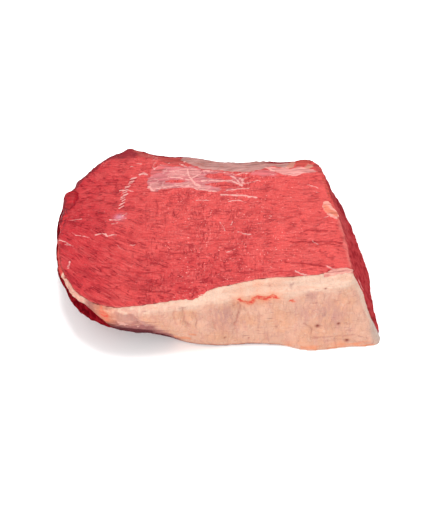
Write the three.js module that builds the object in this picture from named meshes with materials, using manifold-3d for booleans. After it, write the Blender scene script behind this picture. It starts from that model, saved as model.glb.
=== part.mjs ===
// A raw beef silverside: a thick slab cut across the muscle, lying on its lower cut face. The upper cut
// face shows the grain of the lean. A cap of fat covers the front and thins to a seam round the left end,
// where a strip of a second, darker muscle lies outside it. The right end is a sloping knife cut through
// lean and fat. Millimetres, +Z up, +X to the right, -Y the front. The origin is the middle of the
// footprint.
import * as THREE from "three";
import { mergeVertices } from "three/addons/utils/BufferGeometryUtils.js";
import Module from "manifold-3d";

const wasm = await Module();
wasm.setup();

// Driving dimensions.
const THICKNESS = 55; // of the slab, at the middle of its length
const TOP_SLOPE = 0.085; // rise of the upper cut face for each millimetre to the right
const BACK_FALL = 5; // how far the upper face rolls down to the silvery back edge
const BACK_ROLL = 15; // the width of that roll
const BACK_ROUNDING = 1.3; // the roll is steepest at the edge
const EDGE_EASE = 1.2; // how far the rim of the upper face is eased down
const EDGE_WIDTH = 3; // over this width
const MUSCLE_DEPTH = 12; // the second muscle at its thickest
const MUSCLE_GROWTH = 38; // its depth for each height of wall below its upper edge
const SEAM_GAP = 0.3; // between neighbouring pieces

// Stations round the slab, anticlockwise from the right front corner. rim is on the upper face and foot
// on the table. curl is how late the wall turns in or out on its way down (1 is a straight slope), bulge
// is how far it swells at half height, fat is the thickness of the fat there, and muscle is the share of
// the height at which the second muscle begins, counted down from the rim (over 1 where there is none).
const NONE = 1.5;
const STATIONS = [
  { rim: [92.5, -54], foot: [115.5, -59], curl: 1.0, bulge: 0.0, fat: -4, muscle: NONE },
  { rim: [91, -36], foot: [113, -33], curl: 1.0, bulge: 1.0, fat: -4, muscle: NONE },
  { rim: [88.5, -10], foot: [111.5, -4], curl: 1.0, bulge: 1.5, fat: -4, muscle: NONE },
  { rim: [83, 15], foot: [107, 25], curl: 1.0, bulge: 1.5, fat: -4, muscle: NONE },
  { rim: [78, 40], foot: [98.5, 52], curl: 1.0, bulge: 1.0, fat: -4, muscle: NONE },
  { rim: [74, 56.5], foot: [87, 69], curl: 1.0, bulge: 1.0, fat: -4, muscle: NONE },
  { rim: [67.5, 61.5], foot: [75, 73], curl: 1.0, bulge: 1.0, fat: -4, muscle: NONE },
  { rim: [56, 65], foot: [60, 73.5], curl: 1.0, bulge: 2.0, fat: -4, muscle: NONE },
  { rim: [36, 68], foot: [38, 73], curl: 1.0, bulge: 3.0, fat: -4, muscle: NONE },
  { rim: [10, 69.5], foot: [12, 73], curl: 1.0, bulge: 3.0, fat: -4, muscle: NONE },
  { rim: [-24, 78], foot: [-20, 79], curl: 1.0, bulge: 3.0, fat: -4, muscle: NONE },
  { rim: [-50, 81.5], foot: [-46, 80], curl: 1.5, bulge: 2.0, fat: -4, muscle: NONE },
  { rim: [-64.5, 84.5], foot: [-61, 81], curl: 1.5, bulge: 1.0, fat: -4, muscle: NONE },
  { rim: [-75, 80.5], foot: [-72, 77], curl: 1.5, bulge: 2.0, fat: -4, muscle: NONE },
  { rim: [-87, 72.5], foot: [-85, 68], curl: 1.6, bulge: 3.0, fat: -4, muscle: NONE },
  { rim: [-100, 56], foot: [-98, 52], curl: 1.8, bulge: 9.5, fat: -4, muscle: 0.7 },
  { rim: [-108, 35], foot: [-106, 31], curl: 1.8, bulge: 7.0, fat: -4, muscle: 0.1 },
  { rim: [-112, 8], foot: [-106, 8], curl: 1.9, bulge: 5.0, fat: -1, muscle: 0.06 },
  { rim: [-113, -13], foot: [-101, -8], curl: 1.9, bulge: 1.6, fat: 0.8, muscle: 0.04 },
  { rim: [-109, -34], foot: [-96, -21], curl: 1.9, bulge: 0.8, fat: 1.3, muscle: 0.03 },
  { rim: [-100, -52], foot: [-88, -32], curl: 1.8, bulge: 2.5, fat: 1.6, muscle: 0.02 },
  { rim: [-89.5, -63.5], foot: [-78, -38], curl: 1.8, bulge: 2.5, fat: 2.2, muscle: 0.02 },
  { rim: [-78, -70.5], foot: [-67, -43], curl: 2.0, bulge: 1.8, fat: 3.0, muscle: 0.16 },
  { rim: [-60, -74], foot: [-54, -49], curl: 2.2, bulge: 0.5, fat: 4.0, muscle: NONE },
  { rim: [-40, -73], foot: [-38, -54], curl: 2.2, bulge: 0.5, fat: 4.6, muscle: NONE },
  { rim: [-18, -71], foot: [-20, -61.5], curl: 2.0, bulge: 0.5, fat: 5.5, muscle: NONE },
  { rim: [5, -67], foot: [2, -64], curl: 1.4, bulge: 0.5, fat: 9.5, muscle: NONE },
  { rim: [30, -63.5], foot: [26, -62.5], curl: 1.2, bulge: 1.0, fat: 12.0, muscle: NONE },
  { rim: [50, -62.5], foot: [46, -64], curl: 1.2, bulge: 1.0, fat: 12.0, muscle: NONE },
  { rim: [68, -61.5], foot: [63, -68.5], curl: 1.2, bulge: 0.5, fat: 11.0, muscle: NONE },
  { rim: [84, -59.5], foot: [92, -65.5], curl: 1.0, bulge: 0.0, fat: 10.5, muscle: NONE },
  { rim: [91, -57], foot: [113.5, -63], curl: 1.0, bulge: 0.0, fat: 10.5, muscle: NONE },
];
const LAST_FRONT_STATION = STATIONS.length - 2; // beyond it the fat runs straight on, to the right end cut
const FIRST_SEAM_STATION = 14; // the seams lie between these two stations
const BACK_STATIONS = [6, 12]; // the silvery edge lies between these
const BACK_FADE = 1.5; // it fades in and out over this many stations
const FAT_STATIONS = [22, 24]; // from the second on the wall is fat from top to bottom

// Relief of the upper face: swells with a length along x and y, a height, and a place in the noise.
const SWELLS = [
  { x: 31, y: 27, height: 0.9, seed: 0 },
  { x: 11, y: 9, height: 0.45, seed: 5 },
];
// Relief of the wall: crags with a number for each station and for the height of the wall.
const CRAGS = [
  { along: 1.7, down: 3, height: 1, seed: 2 },
  { along: 3.6, down: 6, height: 0.6, seed: 9 },
];
const CRAG_ON_LEAN = 1.2; // torn by the knife
const CRAG_ON_FAT = 0.5; // nearly smooth
const CRAG_BEGINS = 0.12; // share of the height over which the wall's relief fades in below the rim
const CRAG_ENDS = 0.8; // and from which it fades out towards the foot
// Upright furrows in the fat.
const FURROWS = [
  { x: 14, width: 4.5, depth: 1.5 },
  { x: -17, width: 6, depth: 1.3 },
  { x: 62, width: 9, depth: 1.2 },
];

// How finely the surfaces are stepped.
const COLUMNS = 132; // round the outline
const WALL_ROWS = 10;
const WALL_CROWDING = 1.25; // rows lie closer near the rim
const TOP_RINGS = 11;
const TOP_CROWDING = 1.35; // so do rings
const BASE_RINGS = 4;
const MIDDLE = new THREE.Vector3(-8, 0, 0); // of the rings
const WELD = 1e-4;

// The cutting solids that part the pieces.
const CUTTER_REACH = 26; // how far one stands outside the meat
const CUTTER_RISE = 14; // and how far above and below it
const CUTTER_STEPS = 5; // its columns for each station
const CUTTER_RUNS_ON = [25, 60]; // its further columns, straight on past the right end cut
const ABSENT = 5; // how far off the meat it lies where it takes nothing

const smooth = (low, high, x) => THREE.MathUtils.smoothstep(x, low, high);

// Smooth repeatable noise between -1 and 1, from values hashed at whole-number points.
function hash(i, j, k) {
  const s = Math.sin(i * 127.1 + j * 311.7 + k * 74.7) * 43758.5453;
  return 2 * (s - Math.floor(s)) - 1;
}
function noise(x, y, z = 0) {
  const [i, j, k] = [x, y, z].map(Math.floor);
  const [a, b, c] = [x - i, y - j, z - k].map((f) => f * f * (3 - 2 * f));
  const mix = THREE.MathUtils.lerp;
  const row = (dj, dk) => mix(hash(i, j + dj, k + dk), hash(i + 1, j + dj, k + dk), a);
  return mix(mix(row(0, 0), row(1, 0), b), mix(row(0, 1), row(1, 1), b), c);
}

// The outline is read at u, a station number with a fraction.
const ring = (key) =>
  new THREE.CatmullRomCurve3(
    STATIONS.map((s) => new THREE.Vector3(...s[key], 0)),
    true,
  );
const rimCurve = ring("rim");
const footCurve = ring("foot");
const share = (u) => THREE.MathUtils.euclideanModulo(u / STATIONS.length, 1);
function measure(key, u) {
  const wrapped = share(u) * STATIONS.length;
  const before = Math.floor(wrapped) % STATIONS.length;
  const after = (before + 1) % STATIONS.length;
  const t = smooth(0, 1, wrapped - Math.floor(wrapped));
  return THREE.MathUtils.lerp(STATIONS[before][key], STATIONS[after][key], t);
}
function outward(u) {
  const tangent = rimCurve.getTangent(share(u));
  return new THREE.Vector3(tangent.y, -tangent.x, 0).normalize();
}

// The upper cut face: it slopes, is a little uneven, and rolls down along the silvery back edge.
function backEdge(u) {
  const [first, last] = BACK_STATIONS;
  return smooth(first, first + BACK_FADE, u) * (1 - smooth(last - BACK_FADE, last, u));
}
function topHeight(x, y, inFromRim, u) {
  const uneven = SWELLS.reduce((sum, s) => sum + s.height * noise(x / s.x, y / s.y, s.seed), 0);
  const roll = BACK_FALL * backEdge(u) * (1 - smooth(0, BACK_ROLL, inFromRim)) ** BACK_ROUNDING;
  const eased = EDGE_EASE * (1 - smooth(0, EDGE_WIDTH, inFromRim));
  return THICKNESS + TOP_SLOPE * x + uneven - roll - eased;
}

// The wall's relief: crags all round, and the furrows in the fat.
function wallRelief(u, down, x) {
  const onFat = smooth(...FAT_STATIONS, u);
  const crag = CRAGS.reduce((sum, c) => sum + c.height * noise(u * c.along, down * c.down, c.seed), 0);
  const furrows = FURROWS.reduce((sum, f) => sum + f.depth * Math.exp(-(((x - f.x) / f.width) ** 2)), 0);
  const relief = THREE.MathUtils.lerp(CRAG_ON_LEAN, CRAG_ON_FAT, onFat) * crag - onFat * furrows;
  return relief * smooth(0, CRAG_BEGINS, down) * (1 - smooth(CRAG_ENDS, 1, down));
}

// A point of the wall: v runs from 0 at the rim to 1 at the foot, and inset moves it in from the surface.
function wallPoint(u, v, inset = 0) {
  const rim = rimCurve.getPoint(share(u));
  const foot = footCurve.getPoint(share(u));
  const down = THREE.MathUtils.clamp(v, 0, 1);
  const out = outward(u);
  const height = topHeight(rim.x, rim.y, 0, u);
  const relief = wallRelief(share(u) * STATIONS.length, down, rim.x);
  const swell = measure("bulge", u) * Math.sin(Math.PI * down) + relief;
  const point = rim.lerp(foot, down ** measure("curl", u)).addScaledVector(out, swell - inset);
  point.z = height * (1 - down);
  return point;
}
const WALL_SHARES = Array.from({ length: WALL_ROWS + 1 }, (_, r) => (r / WALL_ROWS) ** WALL_CROWDING);

// The triangles of a grid of points, rows by columns. Rows that close round join their last column to the
// first.
function gridFaces(rows, columns, closedRound, flip = false) {
  const faces = [];
  const steps = closedRound ? columns : columns - 1;
  for (let r = 0; r < rows - 1; r++)
    for (let c = 0; c < steps; c++) {
      const [a, b] = [r * columns + c, r * columns + ((c + 1) % columns)];
      const [d, e] = [a + columns, b + columns];
      faces.push(...(flip ? [a, b, d, b, e, d] : [a, d, b, b, d, e]));
    }
  return faces;
}
function solid(points, faces) {
  const geometry = new THREE.BufferGeometry().setFromPoints(points).setIndex(faces);
  const merged = mergeVertices(geometry, WELD);
  return new wasm.Manifold(
    new wasm.Mesh({
      numProp: 3,
      vertProperties: merged.attributes.position.array,
      triVerts: new Uint32Array(merged.index.array),
    }),
  );
}

// The whole slab: rings of the upper face from its middle out to the rim, the wall down to the foot, and
// the flat underside back in to the middle.
function slab() {
  const points = [];
  const column = (c) => (c / COLUMNS) * STATIONS.length;
  const round = (make) => {
    for (let c = 0; c < COLUMNS; c++) points.push(make(column(c)));
  };
  for (let r = 0; r < TOP_RINGS; r++) {
    const out = 1 - (1 - r / TOP_RINGS) ** TOP_CROWDING;
    round((u) => {
      const rim = rimCurve.getPoint(share(u));
      const point = MIDDLE.clone().lerp(rim, out);
      point.z = topHeight(point.x, point.y, point.distanceTo(rim), u);
      return point;
    });
  }
  for (const v of WALL_SHARES) round((u) => wallPoint(u, v));
  for (let r = 1; r <= BASE_RINGS; r++)
    round((u) => footCurve.getPoint(share(u)).lerp(MIDDLE, r / BASE_RINGS));
  for (let c = 0; c < COLUMNS; c++) points[c].copy(points[0]);
  return solid(points, gridFaces(points.length / COLUMNS, COLUMNS, true));
}

// Everything outside a surface that lies inset(u, v) inside the wall, along the seams.
function outside(inset) {
  const columns = [];
  const steps = CUTTER_STEPS * (LAST_FRONT_STATION - FIRST_SEAM_STATION);
  for (let c = 0; c <= steps; c++) {
    const u = THREE.MathUtils.lerp(FIRST_SEAM_STATION, LAST_FRONT_STATION, c / steps);
    columns.push({ u, onward: 0 });
  }
  for (const onward of CUTTER_RUNS_ON) columns.push({ u: LAST_FRONT_STATION, onward });
  const levels = [
    { v: 0, rise: CUTTER_RISE },
    ...WALL_SHARES.map((v) => ({ v, rise: 0 })),
    { v: 1, rise: -CUTTER_RISE },
  ];
  const skin = (reach) => {
    const points = [];
    for (const { v, rise } of levels)
      for (const { u, onward } of columns) {
        const point = wallPoint(u, v, reach ?? inset(u, v));
        point.x += onward;
        point.z += rise;
        points.push(point);
      }
    return points;
  };
  const inner = skin();
  const outer = skin(-CUTTER_REACH);
  const [across, down] = [columns.length, levels.length];
  const far = inner.length;
  const faces = [
    ...gridFaces(down, across, false, true),
    ...gridFaces(down, across, false).map((i) => i + far),
  ];
  const border = [];
  for (let c = 0; c < across - 1; c++) border.push(c);
  for (let r = 0; r < down - 1; r++) border.push(r * across + across - 1);
  for (let c = across - 1; c > 0; c--) border.push((down - 1) * across + c);
  for (let r = down - 1; r > 0; r--) border.push(r * across);
  border.forEach((a, i) => {
    const b = border[(i + 1) % border.length];
    faces.push(a, a + far, b, b, a + far, b + far);
  });
  return solid([...inner, ...outer], faces);
}

// How far in from the surface the second muscle and the fat reach. Where there is none it is negative, so
// that the cutting surface leaves the meat cleanly.
function muscleInset(u, v) {
  const begins = measure("muscle", u);
  return THREE.MathUtils.clamp((v - begins) * MUSCLE_GROWTH, -ABSENT, MUSCLE_DEPTH);
}
function fatInset(u, v) {
  return Math.max(0, muscleInset(u, v)) + measure("fat", u);
}

const whole = slab();
const muscleSide = outside(muscleInset);
const muscleSideWide = outside((u, v) => muscleInset(u, v) + SEAM_GAP);
const fatSide = outside(fatInset);
const fatSideWide = outside((u, v) => fatInset(u, v) + SEAM_GAP);
const largest = (made) => made.decompose().sort((a, b) => b.volume() - a.volume())[0];
const pieces = {
  lean: largest(whole.subtract(fatSideWide).subtract(muscleSideWide)),
  fat_cap: largest(whole.intersect(fatSide).subtract(muscleSideWide)),
  outer_muscle: largest(whole.intersect(muscleSide)),
};

const FINISHES = {
  lean: { color: 0xc8474b, roughness: 0.42, metalness: 0 },
  fat_cap: { color: 0xe8bfa2, roughness: 0.5, metalness: 0 },
  outer_muscle: { color: 0x8e1a20, roughness: 0.38, metalness: 0 },
};

function toMesh(name, made) {
  const { vertProperties, triVerts } = made.getMesh();
  const geometry = new THREE.BufferGeometry();
  geometry.setAttribute("position", new THREE.BufferAttribute(vertProperties, 3));
  geometry.setIndex(new THREE.BufferAttribute(triVerts, 1));
  geometry.computeVertexNormals();
  const mesh = new THREE.Mesh(geometry, new THREE.MeshStandardMaterial(FINISHES[name]));
  mesh.name = name;
  return mesh;
}

const joint = new THREE.Group();
for (const [name, made] of Object.entries(pieces)) joint.add(toMesh(name, made));
const bounds = new THREE.Box3().setFromObject(joint);
const centre = bounds.getCenter(new THREE.Vector3());
joint.position.set(-centre.x, -centre.y, -bounds.min.z);

export default joint;
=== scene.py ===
import itertools
import math

import bmesh
import bpy
import numpy as np
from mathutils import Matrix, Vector
from mathutils.bvhtree import BVHTree
from mathutils.kdtree import KDTree


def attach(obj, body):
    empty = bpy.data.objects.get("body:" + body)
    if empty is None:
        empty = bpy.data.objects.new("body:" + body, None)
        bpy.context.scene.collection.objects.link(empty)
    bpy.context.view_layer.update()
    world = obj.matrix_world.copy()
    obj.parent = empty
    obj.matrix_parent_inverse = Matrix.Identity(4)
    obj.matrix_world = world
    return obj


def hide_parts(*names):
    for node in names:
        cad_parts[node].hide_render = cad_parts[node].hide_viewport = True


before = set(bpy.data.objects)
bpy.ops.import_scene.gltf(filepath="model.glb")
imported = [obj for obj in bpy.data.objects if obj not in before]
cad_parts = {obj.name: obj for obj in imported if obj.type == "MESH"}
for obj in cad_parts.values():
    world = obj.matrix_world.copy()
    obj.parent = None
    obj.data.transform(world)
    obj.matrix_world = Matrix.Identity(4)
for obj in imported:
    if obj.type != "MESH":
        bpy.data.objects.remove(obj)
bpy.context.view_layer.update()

scene = bpy.context.scene

# ---------------------------------------------------------------------------------------------------------
# The view. The joint is seen from its fat side and from well above, through a long lens.
ELEVATION = math.radians(48)
CAMERA_DISTANCE = 1.05
AIM = Vector((0.0042, -0.0081, 0.0276))
LENS = 103.4  # millimetres
SENSOR = 36.0  # millimetres, along the picture's long side
toward_camera = Vector((0, -math.cos(ELEVATION), math.sin(ELEVATION)))
camera = bpy.data.objects.new("camera", bpy.data.cameras.new("camera"))
camera.data.lens = LENS
camera.data.sensor_width = SENSOR
camera.location = AIM + toward_camera * CAMERA_DISTANCE
camera.rotation_euler = (math.pi / 2 - ELEVATION, 0, 0)
scene.collection.objects.link(camera)
scene.camera = camera

# ---------------------------------------------------------------------------------------------------------
# The table is a plain white studio sheet. A large soft light hangs straight over it and the sky is bright, so
# that only a short faint shadow lies around the joint, and a low light in front lifts the fat.
SHEET_SIZE = 6.0
SHEET_WHITE = (0.95, 0.95, 0.95, 1)
SHEET_ROUGHNESS = 0.9
SKY_STRENGTH = 1.0
KEY = {"place": (0.06, 0.02, 1.4), "size": 0.45, "power": 16.0}
FILL = {"place": (-0.55, -1.4, 0.6), "size": 0.8, "power": 16.0}

scene.view_settings.view_transform = "Standard"
sheet_mesh = bpy.data.meshes.new("table")
half = SHEET_SIZE / 2
sheet_corners = [(-half, -half, 0), (half, -half, 0), (half, half, 0), (-half, half, 0)]
sheet_mesh.from_pydata(sheet_corners, [], [(0, 1, 2, 3)])
table = bpy.data.objects.new("table", sheet_mesh)
scene.collection.objects.link(table)
sheet_white = bpy.data.materials.new("studio white")
sheet_white.use_nodes = True
sheet_white.node_tree.nodes["Principled BSDF"].inputs["Base Color"].default_value = SHEET_WHITE
sheet_white.node_tree.nodes["Principled BSDF"].inputs["Roughness"].default_value = SHEET_ROUGHNESS
table.data.materials.append(sheet_white)

sky = bpy.data.worlds.new("studio")
sky.use_nodes = True
sky.node_tree.nodes["Background"].inputs["Color"].default_value = (1, 1, 1, 1)
sky.node_tree.nodes["Background"].inputs["Strength"].default_value = SKY_STRENGTH
scene.world = sky
for name, lamp in (("key", KEY), ("fill", FILL)):
    light = bpy.data.objects.new(name, bpy.data.lights.new(name, "AREA"))
    light.data.size = lamp["size"]
    light.data.energy = lamp["power"]
    light.location = lamp["place"]
    light.rotation_euler = (Vector(lamp["place"]) - AIM).to_track_quat("Z", "Y").to_euler()
    scene.collection.objects.link(light)

# ---------------------------------------------------------------------------------------------------------
# The lean is one thick muscle, cut across by a knife at the top, at the bottom and at the right end. Its
# upper face shows bundles with fine creases between them, a veil of sinew near the back, and white threads
# of connective tissue. The back edge keeps its silverskin.
LEAN_SPACING = 0.00155
UNDERSIDE_ANGLE = 0.02  # radians between faces that are joined underneath
FACES_DOWN = -0.999  # faces whose normal is lower than this look straight down
ON_TABLE = 0.0003  # metres: and they lie on the table below this height
LEAN_EASING = 4  # rounds of smoothing that take the sharpness off its edges
LEAN_GLOSS = 0.06  # of the cut face, which is moist, while the walls are dull
CUT_FACE_ABOVE = 35  # millimetres, as all that follows: the upper cut face lies above this height
END_CUT_BEYOND = 65  # and the end cut lies beyond this x
RELIEF_FADES_IN = (0.5, 4)  # between these heights, so that the underside stays flat

LEAN_BRIGHT = (0.44, 0.055, 0.051)
LEAN_RED = (0.34, 0.022, 0.027)
# Paler on the raised tops of the bundles: partly the meat's own streaks, partly painted highlight:
LEAN_PALE = (0.52, 0.112, 0.104)
LEAN_DULL = (0.40, 0.072, 0.068)
# Darker between the bundles: partly the meat's own streaks, partly painted shade:
LEAN_STREAK = (0.24, 0.012, 0.017)
LEAN_CREASE = (0.17, 0.004, 0.010)
LEAN_RIM = (0.145, 0.010, 0.016)
END_DARK = (0.22, 0.014, 0.019)
END_RED = (0.33, 0.032, 0.036)
END_PALE = (0.43, 0.095, 0.090)
# Painted highlight: the small pale wet glints on the cut face.
FLECK = (0.58, 0.200, 0.180)
VEIL_MAUVE = (0.34, 0.100, 0.108)
VEIL_PALE = (0.385, 0.150, 0.145)
SINEW_WHITE = (0.52, 0.255, 0.232)
SINEW_MAUVE = (0.42, 0.120, 0.115)
# Partly the pale blend where the lean meets the fat, partly painted light over the shade in that seam:
SEAM_PINK = (0.50, 0.200, 0.165)
# Painted highlight along the cut face's edge near the end cut:
EDGE_PINK = (0.50, 0.130, 0.115)
LILAC = (0.42, 0.225, 0.290)
SILVER_BROWN = (0.25, 0.098, 0.082)
SILVER_GREY = (0.31, 0.160, 0.145)
ROLL_BROWN = (0.28, 0.044, 0.040)
HUMP_MAUVE = (0.38, 0.088, 0.094)
PATCH_PINK = (0.475, 0.195, 0.180)
BEIGE = (0.34, 0.140, 0.105)
CRIMSON = (0.31, 0.042, 0.034)
CORNER_RED = (0.27, 0.036, 0.036)
STRIP_BROWN = (0.35, 0.050, 0.040)
KERNEL_PALE = (0.56, 0.225, 0.185)
KERNEL_ORANGE = (0.50, 0.145, 0.095)
FILM_PINK = (0.40, 0.080, 0.080)
FILM_MAUVE = (0.37, 0.080, 0.082)
RIM_BRIGHT = (0.38, 0.016, 0.020)
LOBE_RED = (0.26, 0.014, 0.018)

# The bundles run level at the right, and to the left of BUNDLES_TURN they sweep back towards the round end.
BUNDLES_TURN = -10
BUNDLES_SWEEP = 0.0052  # this times the square of the distance past the turn is how far, in millimetres
BUNDLES_LEVEL = (-5, 32)  # the sweep fades out from front to back between these

# Many places in these tables and in the fat's were picked by eye on the photograph. A program that isn't
# part of this one then worked them out in millimetres on the solids.

# Patches of its skins on the upper face: a colour, how far it stands up, how soft its edge is, and an
# outline of (x, y).
PATCHES = {
    "roll": (ROLL_BROWN, 0.4, 1.5, [(-63, 77), (-57, 69.5), (-49.8, 67.5), (-41.7, 64.5), (-37.3, 59.9),
        (-30.5, 58.1), (-25, 58), (-18, 57.2), (-13, 57), (-8, 66), (-10, 72), (-40, 80)]),
    "silver": (SILVER_GREY, 0.2, 1.2, [(-26, 63), (-18, 58), (-9.6, 53), (-3.5, 52), (5.6, 50.3),
        (14.7, 47.6), (20.7, 46.4), (26.8, 47.3), (32, 49), (36, 50), (43.2, 51), (48.6, 47.6),
        (53.1, 48), (57, 56), (56, 70), (-20, 74)]),
    "hump": (HUMP_MAUVE, 0.9, 1.2, [(24, 43.5), (28.5, 47), (31.9, 48), (36.4, 48), (41.3, 45.3),
        (46, 41.3), (40.7, 41), (34, 41), (28.5, 42)]),
    "pink patch": (PATCH_PINK, 0.3, 0.9, [(36, 50.3), (39.7, 46.4), (44.1, 44.6), (48.4, 41.4),
        (51, 40.3), (56.1, 39.3), (60.6, 40.3), (65.1, 41.3), (69.5, 41.7), (72.8, 42.7), (70.7, 45.1),
        (65.3, 46.6), (62, 48.2), (56.4, 48.2), (53.6, 46.5), (50.9, 48.8), (44.2, 49.3), (40, 51)]),
    "beige": (BEIGE, 0.4, 0.7, [(51.5, 50.5), (53.3, 54), (56.8, 57), (58, 53), (56.5, 48.8),
        (53.6, 47.7)]),
    "crimson": (CRIMSON, 0.6, 0.9, [(57.7, 53.2), (59, 62), (68, 62), (69, 53.3), (67.1, 50.3),
        (63.7, 48.4), (58.1, 48.8)]),
    "beige corner": (BEIGE, 0.4, 0.7, [(63.7, 48.2), (67.7, 50.8), (70.6, 50.2), (71.3, 47.3),
        (67.5, 46.1), (64.7, 46.8)]),
    "corner": (CORNER_RED, 0.0, 1.5, [(70, 62), (70.5, 52), (71.3, 48), (73.4, 43.9), (75.6, 41),
        (84, 38), (84, 62)]),
    "strip": (STRIP_BROWN, 0.0, 1.2, [(75, 42), (76.8, 35), (78, 27), (79.5, 19), (82, 14), (88, 14),
        (88, 42)]),
    "left rim": (RIM_BRIGHT, 0.0, 0.9, [(-112, 24), (-108.5, 22), (-107.5, 15), (-109, 8), (-110, 2),
        (-112, -6), (-118, -6), (-118, 18)]),
    "lobe": (LOBE_RED, 0.3, 0.7, [(-108, 38), (-103, 38), (-100, 35), (-99.5, 30), (-101.5, 25),
        (-105, 21.5), (-113, 22), (-114, 34)]),
    "film": (FILM_MAUVE, 0.1, 1.3, [(-50, 41), (-48.5, 50), (-46.3, 57), (-41, 59), (-33, 57.5),
        (-31, 54), (-40, 49), (-45, 44)]),
    "veil": (VEIL_MAUVE, 0.15, 1.0, [(-50.2, 40.7), (-49.7, 45.9), (-44.3, 49.4), (-40.1, 51),
        (-37.7, 54.6), (-30.4, 56.1), (-23.1, 55.8), (-17.6, 56.2), (-13.9, 54), (-9.6, 51.8),
        (-3.5, 51.2), (4.4, 49.4), (11.7, 46.3), (18.5, 41.5), (20.4, 35.5), (17.5, 32.6), (11.3, 29.4),
        (7.3, 27.7), (1.9, 28.2), (-3.5, 28.7), (-10.7, 30.6), (-16.7, 34.3), (-27.6, 34.6),
        (-39.7, 33.9), (-43.9, 33), (-48, 33.4)]),
    "veil front": (VEIL_PALE, 0.15, 1.2, [(-49, 40), (-44, 41), (-38, 38.3), (-32, 38), (-24, 38.4),
        (-17, 40), (-12, 37.5), (-5, 33.5), (-6, 30.5), (-14, 33), (-25, 35.6), (-40, 34.8), (-47, 34)]),
    "veil back": (VEIL_PALE, 0.15, 1.5, [(-37, 48), (-30, 52), (-22, 54), (-12, 52), (-13, 45),
        (-22, 45.5), (-30, 46)]),
    "kernel": (KERNEL_PALE, 1.1, 0.7, [(75, 5), (76, 11.5), (79.3, 12.6), (81.8, 8.5), (83.8, 4),
        (85.6, -0.5), (85.2, -6), (82, -5), (78.6, -2.4), (76.4, 2)]),
    "kernel front": (KERNEL_ORANGE, 0.0, 0.8, [(75.8, 5), (76.4, 8), (79, 6.5), (80.5, 3), (84, 1),
        (84.8, -4.6), (82.2, -2), (79.5, -0.5), (77, 2.4)]),
}
# Where the veil is torn the meat shows through it.
TEARS = [
    [(-38, 41.5), (-33.8, 42.9), (-26.5, 42.3), (-21, 40.9), (-25.3, 39.6), (-32.5, 39.5)],
    [(-7.7, 36.8), (-2.3, 38.4), (8.6, 37.3), (16.4, 33.9), (11.5, 31), (5.5, 30.6), (-1.1, 33.4)],
    [(-9.6, 45), (-5.9, 48.5), (1.4, 47.3), (9, 44.6), (11, 40.8), (2.6, 42.4), (-5.9, 43.4)],
]
# A shallow groove near the end cut.
GROOVE = [(61.8, -10.5), (69, -9.7), (83, -11.8), (83, -14.6), (71, -13.8), (62, -14)]
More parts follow.
